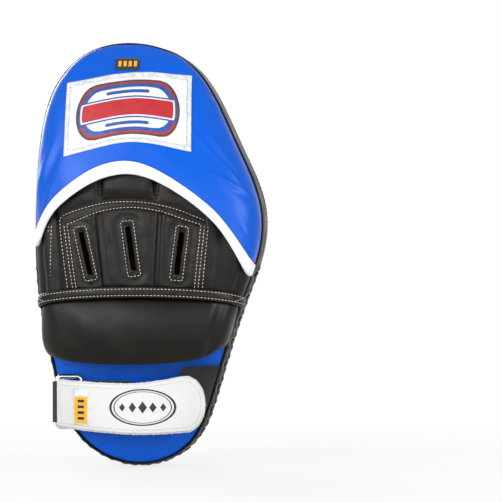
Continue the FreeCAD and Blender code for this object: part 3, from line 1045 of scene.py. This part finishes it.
solid(newPiece("knuckleBand", gridPiece(band["steps"], 14, bandGrid), blackLeather,
               replaces=("knuckle_band",)), 1.5)
bandRows = [[bandThread(angle, across, 0.05) for angle in np.linspace(0.12, math.pi - 0.12, 360)]
            for across in (-2.3, 2.3)]
bandRows += [[bandThread(start + (end - start) * t, 2.0 - 4.2 * t, 0.1) for t in np.linspace(0, 1, 40)]
             for start, end in ((0.16, 0.42), (math.pi - 0.16, math.pi - 0.42))]
stitches("bandStitching", bandRows, paleThread, **sew)

cushion = {"inset": -1.2, "columns": 130, "ring": 56, "overhang": (3.2, 1.0),
           "bottom": [(74, 84), (66, 80), (50, 76.5), (10, 74.5), (-30, 75.5), (-56, 78), (-66, 81),
                      (-76, 87)],
           "thick": [(74, 5.5), (84, 11), (100, 12.5), (114, 11), (124, 6)]}
cushionBottom = lookUp(smoothLine(cushion["bottom"], 120))
cushionThick = lookUp(cushion["thick"])


def cushionPoint(u, v):
    # v goes round the section: the outer face from the seam down, then the inner face back up
    angle = math.pi * eased(u) * 0.985 + math.pi * 0.0075
    middle, half = padAcross(110.0)
    x = middle + (half - cushion["inset"]) * math.cos(angle)
    high = hand["seam"][0] - 2.0 + hand["seam"][1] * math.sin(angle)
    low = cushionBottom(x)
    turn = 2 * math.pi * v
    middle, half = (high + low) / 2, (high - low) / 2
    height = middle + half * math.copysign(abs(math.cos(turn)) ** 0.8, math.cos(turn))
    thick = cushionThick(height) * (0.55 + 0.45 * math.sin(angle))
    across = math.copysign(abs(math.sin(turn)) ** 0.75, math.sin(turn))
    dent = -1.6 * bump(angle - 2.56, 0.10) * max(across, 0) + 1.0 * bump(angle - 2.36, 0.2) * max(across, 0)
    dent += 0.9 * noise.noise(Vector((angle * 3, height / 24, 8))) * max(across, 0)
    lift = -thick / 2 + thick / 2 * across - 1.0 + dent
    place = archPoint("cushionRise", cushion["inset"], angle, height, lift)
    # the lower corners stand out past the narrowing pad
    over = cushion["overhang"][0 if angle < math.pi / 2 else 1] * smoothStep(112, 84, height)
    return place + Vector((over * math.cos(angle) * mm, 0, 0))


def ringOf(place, columns, rows):
    # a closed tube: the first and last rows meet and the two ends are filled
    bm = gridPiece(columns, rows, place, closed=True)
    bmesh.ops.holes_fill(bm, edges=[e for e in bm.edges if e.is_boundary], sides=0)
    return bm


def inflate(piece, pinned, pressure, cap, frames=20):
    # blow the closed form up as cloth, hold the pinned points, and limit how far any point may go
    start = [v.co.copy() for v in piece.data.vertices]
    group = piece.vertex_groups.new(name="sewn")
    for i, place in enumerate(start):
        group.add([i], pinned(place), "REPLACE")
    cloth = piece.modifiers.new("cloth", "CLOTH")
    settings = cloth.settings
    settings.quality, settings.mass = 6, 0.3
    settings.tension_stiffness = settings.compression_stiffness = 25
    settings.shear_stiffness, settings.bending_stiffness = 8, 1.2
    settings.use_pressure, settings.uniform_pressure_force = True, pressure
    settings.effector_weights.gravity = 0
    settings.vertex_group_mass = "sewn"
    scene = bpy.context.scene
    for step in range(1, frames + 1):
        scene.frame_set(step)
    swollen = finishedMesh(piece)
    moved = [v.co - a for v, a in zip(swollen.vertices, start)]
    piece.modifiers.clear()
    piece.vertex_groups.clear()
    for vertex, place, step in zip(piece.data.vertices, start, moved):
        vertex.co = place + step * min(1, cap * mm / max(step.length, 1e-9))
    bpy.data.meshes.remove(swollen)
    scene.frame_set(1)


pillow = newPiece("handCushion", ringOf(cushionPoint, cushion["columns"], cushion["ring"]), blackLeather,
                  body=None)


def cushionSewn(place):
    height = place.z / mm + mitt["pocket"]
    little, thumb = edgeX(height)
    x = place.x / mm
    side = min(little - x, x - thumb)
    return max(smoothStep(112, 121, height), smoothStep(8, 3, side) if side < 8 else 0.0, 0.0)


inflate(pillow, cushionSewn, 3.0, 4.0)
finer = pillow.modifiers.new("finer", "SUBSURF")
finer.levels = finer.render_levels = 1
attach(pillow, "root")
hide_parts("hand_cushion_cover", "hand_cushion_foam")
print("cushion made")

patch = {"top": [(49.5, 280), (1, 287.5), (-41.5, 285)], "foot": [(49.5, 225.6), (1, 236), (-43.5, 228.8)]}
patchLines = [smoothLine(patch[key], 60) for key in ("top", "foot")]


def hoodSurface(x, height, lift):
    # a point over the hood's leather, dents and all
    calm = math.sin(angleAt(x, height, hoodShape["inset"])) ** 0.5
    return hoodFace(x, height) + normalOf(hoodFace, x, height) * (lift + hoodDent(x, height) * calm) * mm


def patchSpot(u, v):
    high, low = (alongLine(line, u) for line in patchLines)
    return low + (high - low) * v


def onPatch(name, corners, material, lift, thick, columns=60, rows=40, rounded=0.0):
    # a sheet over part of the patch: corners are u0, u1, v0, v1 in the patch's own 0 to 1
    u0, u1, v0, v1 = corners

    def place(u, v):
        trim = rounded * (1 - math.sqrt(max(1 - (2 * v - 1) ** 2, 0)))
        uu = u0 + trim + (u1 - u0 - 2 * trim) * u
        x, height = patchSpot(uu, v0 + (v1 - v0) * v)
        return hoodSurface(x, height, lift)
    return solid(newPiece(name, gridPiece(columns, rows, place), material), thick)


onPatch("hoodPatch", (0, 1, 0, 1), patchCloth, 0.9, 0.8)
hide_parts("hood_patch")
# the border is a frame: a full sheet with its inner faces taken out
onPatch("patchBorder", (0, 1, 0, 1), greyThread, 1.0, 0.5, columns=120, rows=80)
borderMesh = bmesh.new()
borderMesh.from_mesh(bpy.data.objects["patchBorder"].data)
uvLayer = borderMesh.loops.layers.uv.active
inner = [f for f in borderMesh.faces
         if all(0.026 < l[uvLayer].uv.x < 0.974 and 0.05 < l[uvLayer].uv.y < 0.95 for l in f.loops)]
bmesh.ops.delete(borderMesh, geom=inner, context="FACES")
borderMesh.to_mesh(bpy.data.objects["patchBorder"].data)
borderMesh.free()
for name, area, material, lift, trim in (
        ("emblemEdge", (0.09, 0.91, 0.11, 0.89), blackThread, 1.15, 0.16),
        ("emblemLine", (0.105, 0.895, 0.135, 0.865), redThread, 1.25, 0.155),
        ("emblemRing", (0.12, 0.88, 0.16, 0.84), navyThread, 1.35, 0.15),
        ("emblemField", (0.155, 0.845, 0.215, 0.785), patchCloth, 1.45, 0.14),
        ("emblemBandEdge", (0.11, 0.89, 0.345, 0.655), navyThread, 1.55, 0.012),
        ("emblemBandLine", (0.125, 0.875, 0.365, 0.635), patchCloth, 1.65, 0.012),
        ("emblemBand", (0.14, 0.86, 0.385, 0.615), redThread, 1.75, 0.012),
        ("emblemUpper", (0.33, 0.67, 0.70, 0.745), navyThread, 1.6, 0.015),
        ("emblemLower", (0.33, 0.67, 0.255, 0.30), navyThread, 1.6, 0.015)):
    onPatch(name, area, material, lift, 0.4, rounded=trim)


def patchRow(line):
    spots = [patchSpot(*at) for at in line]
    return [(hoodSurface(x, height, 1.25), normalOf(hoodFace, x, height)) for x, height in spots]


patchRows = [patchRow([(side, t) for t in np.linspace(0.06, 0.94, 50)]) for side in (0.035, 0.965)]
patchRows += [patchRow([(t, end) for t in np.linspace(0.035, 0.965, 120)]) for end in (0.06, 0.94)]
stitches("patchStitching", patchRows, whiteThreadPaintedShade, **sew)


def tagPoint(lift, x0, x1, low, high):
    return lambda u, v: hoodSurface(x0 + (x1 - x0) * u, low + (high - low) * v, lift)


solid(newPiece("handTag", gridPiece(24, 12, tagPoint(0.9, 14.5, -2.8, 289.6, 298.2)), tagCloth,
               replaces=("hand_tag",)), 0.7)
bars = bmesh.new()
for x in (11.2, 7.4, 3.6, -0.2):
    addTo(bars, gridPiece(6, 8, tagPoint(1.05, x + 1.2, x - 1.0, 292.0, 296.0)))
solid(newPiece("handTagBars", bars, labelCloth), 0.3)

# target disc on the face
disc = {"x": 20, "height": 180, "radius": 27, "ring": (20.5, 23.5), "spot": 6.5, "pole": 0.001}


def faceSpot(x, height, lift):
    return spot(x, faceY(x, height) - lift, height)


def discPoint(near, far, lift):
    def place(u, v):
        a, r = 2 * math.pi * u, near + (far - near) * v
        return faceSpot(disc["x"] + r * math.cos(a), disc["height"] + r * math.sin(a), lift)
    return place


for name, columns, rows, reach, lift, material, thick, node in (
        ("faceTarget", 96, 16, (disc["pole"], disc["radius"]), 0.8, whiteLeather, 0.6,
         ("face_target_patch",)),
        ("faceTargetRing", 96, 5, disc["ring"], 1.42, blackPrint, 0.25, ()),
        ("faceTargetSpot", 64, 6, (disc["pole"], disc["spot"]), 1.42, blackPrint, 0.25, ())):
    sheet = gridPiece(columns, rows, discPoint(*reach, lift), closed=True)
    solid(newPiece(name, sheet, material, replaces=node), thick, offset=1.0)
print("patches made")

strap = {"centre": (4, -97), "radius": 107,      # of the arc it follows, in x and y
         "leather": 1.8, "pile": 1.5, "start": 57.0, "tip": -52.0, "round": 14.0,
         "top": [(62, 62.6), (30, 60.6), (0, 60), (-20, 62), (-38, 65)],
         "foot": [(62, 30), (30, 26.8), (0, 24.9), (-20, 24.9), (-38, 26)], "bend": (-2.0, -14.0)}
strapTop, strapFoot = (lookUp(smoothLine(strap[key], 60)) for key in ("top", "foot"))


def strapPoint(x, height, lift):
    turn = math.asin((x - strap["centre"][0]) / strap["radius"])
    wave = 0.5 * math.sin(x / 13 + height / 40) + 0.35 * noise.noise(Vector((x, height, 4)) / 16)
    r = strap["radius"] + lift + wave
    return spot(strap["centre"][0] + r * math.sin(turn), strap["centre"][1] + r * math.cos(turn), height)


def strapEdges(x, grow=0.0):
    # foot and top of the strap at x, drawn in to a round end at the tip
    at = max(x, -38)
    high, low = strapTop(at), strapFoot(at)
    over = max(0.0, (strap["tip"] + strap["round"] - x) / (strap["round"] + grow))
    part = max(1 - over ** 2.2, 0) ** 0.48
    middle, half = (high + low) / 2, (high - low) / 2 + grow
    return middle - half * part, middle + half * part


def strapSheet(lift, grow=0.0, ragged=0.0, inset=0.0):
    def place(u, v):
        x = strap["start"] + (strap["tip"] - grow - strap["start"]) * (1 - (1 - u) ** 1.35) * (1 - 1e-4)
        low, high = strapEdges(x, grow)
        out = abs(2 * v - 1)
        rag = ragged * (out ** 12) * noise.noise(Vector((x, v * 9, 2)) / 0.9)
        return strapPoint(x, low + (high - low) * v + math.copysign(rag, v - 0.5), lift - inset * out ** 8)
    return place


def strapBend(piece):
    start, end = (strapPoint(x, 43, 0) for x in strap["bend"])
    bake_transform(piece)
    return piece


def strapPiece(name, bm, material, thick, replaces=()):
    piece = newPiece(name, bm, material, body=None)
    solid(piece, thick)
    evaluatedMesh(piece)
    if replaces:
        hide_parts(*replaces)
    return strapBend(piece)


strapPiece("strapLeather", gridPiece(220, 60, strapSheet(0, inset=0.5)), whiteLeather, strap["leather"] - 0.2,
           ("strap_base_leather", "strap_tip_leather"))
strapPiece("strapPile", gridPiece(420, 60, strapSheet(-strap["leather"] + 0.3, grow=0.9, ragged=1.1)),
           whitePile, strap["pile"] + 0.2, ("strap_base_pile", "strap_tip_pile"))

strapRows = []
for side in (0, 1):
    row = []
    for x in np.linspace(54.0, strap["tip"] + 3.4, 300):
        low, high = strapEdges(x - 2.2)
        height = (low + 2.6, high - 2.6)[side]
        row.append((strapPoint(x, height, 0.12), strapPoint(x, height, 3) - strapPoint(x, height, 0)))
    strapRows.append([(p, n.normalized()) for p, n in row])
low, high = strapEdges(strap["tip"] + 1.2)
for x, ends, steps, out in ((strap["tip"] + 3.2, (low + 2.6, high - 2.6), 30, Vector((0, 1, 0))),
                            (54.2, (32.2, 59.8), 56, Vector((0.4, 0.9, 0)).normalized())):
    strapRows.append([(strapPoint(x, height, 0.12), out) for height in np.linspace(*ends, steps)])
strapThreads = stitches("strapStitching", strapRows, whiteThreadPaintedShade, pitch=2.4, long=1.5, wide=0.5, body=None)
strapBend(strapThreads)

badge = {"x": -7.7, "height": 43.6, "wide": 24.2, "tall": 13.4}


def badgeRing(near, far):
    def place(u, v):
        a, r = 2 * math.pi * u, near + (far - near) * v
        return strapPoint(badge["x"] + badge["wide"] * r * math.cos(a),
                          badge["height"] + badge["tall"] * r * math.sin(a), 0.12)
    return place


def badgeDiamonds():
    # a row of five lozenges, the middle one largest
    whole = bmesh.new()
    for step in range(-2, 3):
        tall = 4.4 - 0.7 * abs(step)

        def place(u, v, step=step, tall=tall):
            half = tall * (1 - abs(2 * v - 1))
            return strapPoint(badge["x"] + 7.4 * step + (2 * u - 1) * half * 0.72,
                              badge["height"] + tall * (2 * v - 1), 0.12)
        addTo(whole, gridPiece(6, 12, place))
    return whole


strapPiece("strapBadgeRing", gridPiece(120, 3, badgeRing(0.93, 1.0), closed=True), blackPrint, 0.2)
strapPiece("strapBadgeInner", gridPiece(120, 3, badgeRing(0.84, 0.87), closed=True), blackPrint, 0.2)
strapPiece("strapBadgeRow", badgeDiamonds(), blackPrint, 0.2)

label = {"x": (44.2, 31.8), "height": (30.5, 56.8)}


def labelSheet(u0, u1, v0, v1, lift):
    def place(u, v):
        (left, right), (foot, head) = label["x"], label["height"]
        x = left + (right - left) * (u0 + (u1 - u0) * u)
        return strapPoint(x, foot + (head - foot) * (v0 + (v1 - v0) * v), lift)
    return place


labelParts = [("strapLabel", (0, 1, 0, 1), 0.35, greyThread, ("strap_label",)),
              ("labelField", (0.09, 0.91, 0.04, 0.78), 0.5, labelCloth, ()),
              ("labelHead", (0.09, 0.91, 0.81, 0.96), 0.5, silverCloth, ())]
for letter, low, high in (("A", 0.62, 0.70), ("B", 0.46, 0.54), ("C", 0.30, 0.38), ("D", 0.14, 0.22)):
    labelParts.append(("labelBar" + letter, (0.3, 0.7, low, high), 0.62, blackPrint, ()))
for name, area, lift, material, gone in labelParts:
    solid(newPiece(name, gridPiece(16, 28, labelSheet(*area, lift)), material, body="strap_base",
                   replaces=gone), 0.3)

# loop tab: a stiff flap of loop pile that stands off the pad's back
tab = {"low": (40, [(-27, 1.2), (-35, -1.8), (-42, -5.2), (-47.5, -11), (-50.5, -18.5), (-51.5, -26)]),
       "high": (73, [(-36, -2.3), (-43, -5.7), (-50, -9.8), (-55.5, -13.4), (-59.5, -16.4), (-63, -21)]),
       "thick": 1.8}
tabLines = [smoothLine(tab[key][1], 60) for key in ("low", "high")]


def tabPoint(u, v):
    # rounded corners at the free end, rough edges
    low, high = (alongLine(line, u) for line in tabLines)
    corner = 0.10 * (1 - math.sqrt(max(1 - max(0, (0.16 - u) / 0.16) ** 2, 0)))
    rag = 0.012 * noise.noise(Vector((u * 60, v * 40, 1)))
    vv = corner + (1 - 2 * corner) * v + rag
    at = low + (high - low) * vv
    return spot(at[0], at[1], tab["low"][0] + (tab["high"][0] - tab["low"][0]) * vv)


loopTab = newPiece("loopTab", gridPiece(60, 50, tabPoint), blackPile, body="loop_tab",
                   replaces=("wrist_loop_tab",))
solid(loopTab, tab["thick"], bevel=0.5)

# the ring and its two webbing parts are shown as the CAD has them
for node, material in (("wire_ring", steel), ("strap_end_fold", webbing), ("ring_anchor_tab", webbing)):
    piece = bpy.data.objects[node]
    piece.data.materials.clear()
    piece.data.materials.append(material)
print("strap made")

# sewing in the side wall: one row beside the face seam, two rows at each cross seam
wallRows = [[threadPoint(wallPoint(i, 2.6, 1.2), wallPoint(i, 2.6, 4))
             for i in range(seamLow[0] - 40, seamLow[-1] + 40, 2)]]
for i in (seamLow[0], seamLow[-1]):
    for shift in (-2.2, 2.2):
        row = []
        for depth in np.linspace(1.5, mitt["wall"] - 1.5, 60):
            station = i + shift / stationStep
            lift = sideWall["bulge"] * math.sin(math.pi * depth / mitt["wall"]) ** 0.7 + 0.1
            row.append(threadPoint(wallPoint(station, depth, lift), wallPoint(station, depth, lift + 3)))
        wallRows.append(row)
stitches("wallStitching", wallRows, blackThread, pitch=3.2, long=1.5, wide=0.7)
print("sewing made")

# camera: azimuth and elevation in degrees, distance and aim in metres; room is the world's light
view = {"azimuth": 184.3, "elevation": 0.0, "distance": 2.2, "lens": 214.0, "aim": (-0.0837, -0.03, 0.0822),
        "room": 0.24}
# area lamps: name, place in metres, watts, width, height
lamps = [("key", (1.0, 1.45, 0.75), 27, 1.1, 1.1), ("low", (-0.1, 1.7, 0.15), 8, 1.8, 0.4),
         ("side", (-1.15, 0.75, 0.3), 12, 0.25, 1.0), ("front", (0.9, -1.6, 0.8), 26, 1.0, 1.0)]


def seenRays(tree):
    # 1 for what the camera, a mirror or glass sees, 0 for light that falls on the object
    rays = addNode(tree, "LightPath")
    result = rays.outputs["Is Camera Ray"]
    for kind in ("Is Glossy Ray", "Is Transmission Ray"):
        result = addNode(tree, "Math", {0: result, 1: rays.outputs[kind]}, operation="MAXIMUM").outputs[0]
    return result


def stageScene():
    bm = bmesh.new()
    bmesh.ops.create_grid(bm, x_segments=2, y_segments=2, size=12)
    mesh = bpy.data.meshes.new("floor")
    bm.to_mesh(mesh)
    floor = bpy.data.objects.new("floor", mesh)
    mesh.transform(Matrix.Translation((0, 0, cadBox[0].z - 1 * mm)))
    bpy.context.scene.collection.objects.link(floor)
    material, tree, shader = newMaterial("paleFloor", Roughness=0.9)
    shader.inputs["Base Color"].default_value = linear("#DEDEDE")
    glow = addNode(tree, "Emission", {"Color": (1, 1, 1, 1), "Strength": 1.0})
    # near the object the floor keeps some of its own shading, so that it shows the shadow
    away = addNode(tree, "VectorMath", {0: addNode(tree, "TexCoord").outputs["Object"]}, operation="LENGTH")
    share = addNode(tree, "MapRange", {"Value": away.outputs["Value"], "From Min": 0.05, "From Max": 0.7,
                                       "To Min": 0.80, "To Max": 1.0}, interpolation_type="SMOOTHSTEP")
    part = addNode(tree, "Math", {0: seenRays(tree), 1: share.outputs["Result"]}, operation="MULTIPLY")
    both = addNode(tree, "MixShader", {0: part.outputs[0]})
    tree.links.new(shader.outputs[0], both.inputs[1])
    tree.links.new(glow.outputs[0], both.inputs[2])
    tree.links.new(both.outputs[0], tree.nodes["Material Output"].inputs["Surface"])
    mesh.materials.append(material)
    world = bpy.data.worlds.new("studio")
    bpy.context.scene.world = world
    world.use_nodes = True
    tree = world.node_tree
    room = tree.nodes["Background"]
    room.inputs["Color"].default_value, room.inputs["Strength"].default_value = (1, 1, 1, 1), view["room"]
    backdrop = addNode(tree, "Background", {"Color": (1, 1, 1, 1), "Strength": 1.0})
    seen = addNode(tree, "MixShader", {0: seenRays(tree)})
    tree.links.new(room.outputs[0], seen.inputs[1])
    tree.links.new(backdrop.outputs[0], seen.inputs[2])
    tree.links.new(seen.outputs[0], tree.nodes["World Output"].inputs["Surface"])
    for name, place, power, width, tall in lamps:
        lamp = bpy.data.lights.new(name, "AREA")
        lamp.energy, lamp.shape, lamp.size, lamp.size_y = power, "RECTANGLE", width, tall
        holder = bpy.data.objects.new(name, lamp)
        holder.location = place
        holder.rotation_mode = "QUATERNION"
        holder.rotation_quaternion = (Vector((0, 0, 0.08)) - Vector(place)).to_track_quat("-Z", "Y")
        bpy.context.scene.collection.objects.link(holder)
    camera = bpy.data.objects.new("camera", bpy.data.cameras.new("camera"))
    bpy.context.scene.collection.objects.link(camera)
    a, e = math.radians(view["azimuth"]), math.radians(view["elevation"])
    back = Vector((math.sin(a) * math.cos(e), -math.cos(a) * math.cos(e), math.sin(e)))
    camera.data.lens, camera.data.sensor_width = view["lens"], 36
    camera.location = Vector(view["aim"]) + back * view["distance"]
    camera.rotation_mode = "QUATERNION"
    camera.rotation_quaternion = (-back).to_track_quat("-Z", "Y")
    bpy.context.scene.camera = camera
    bpy.context.scene.view_settings.view_transform = "Standard"


stageScene()
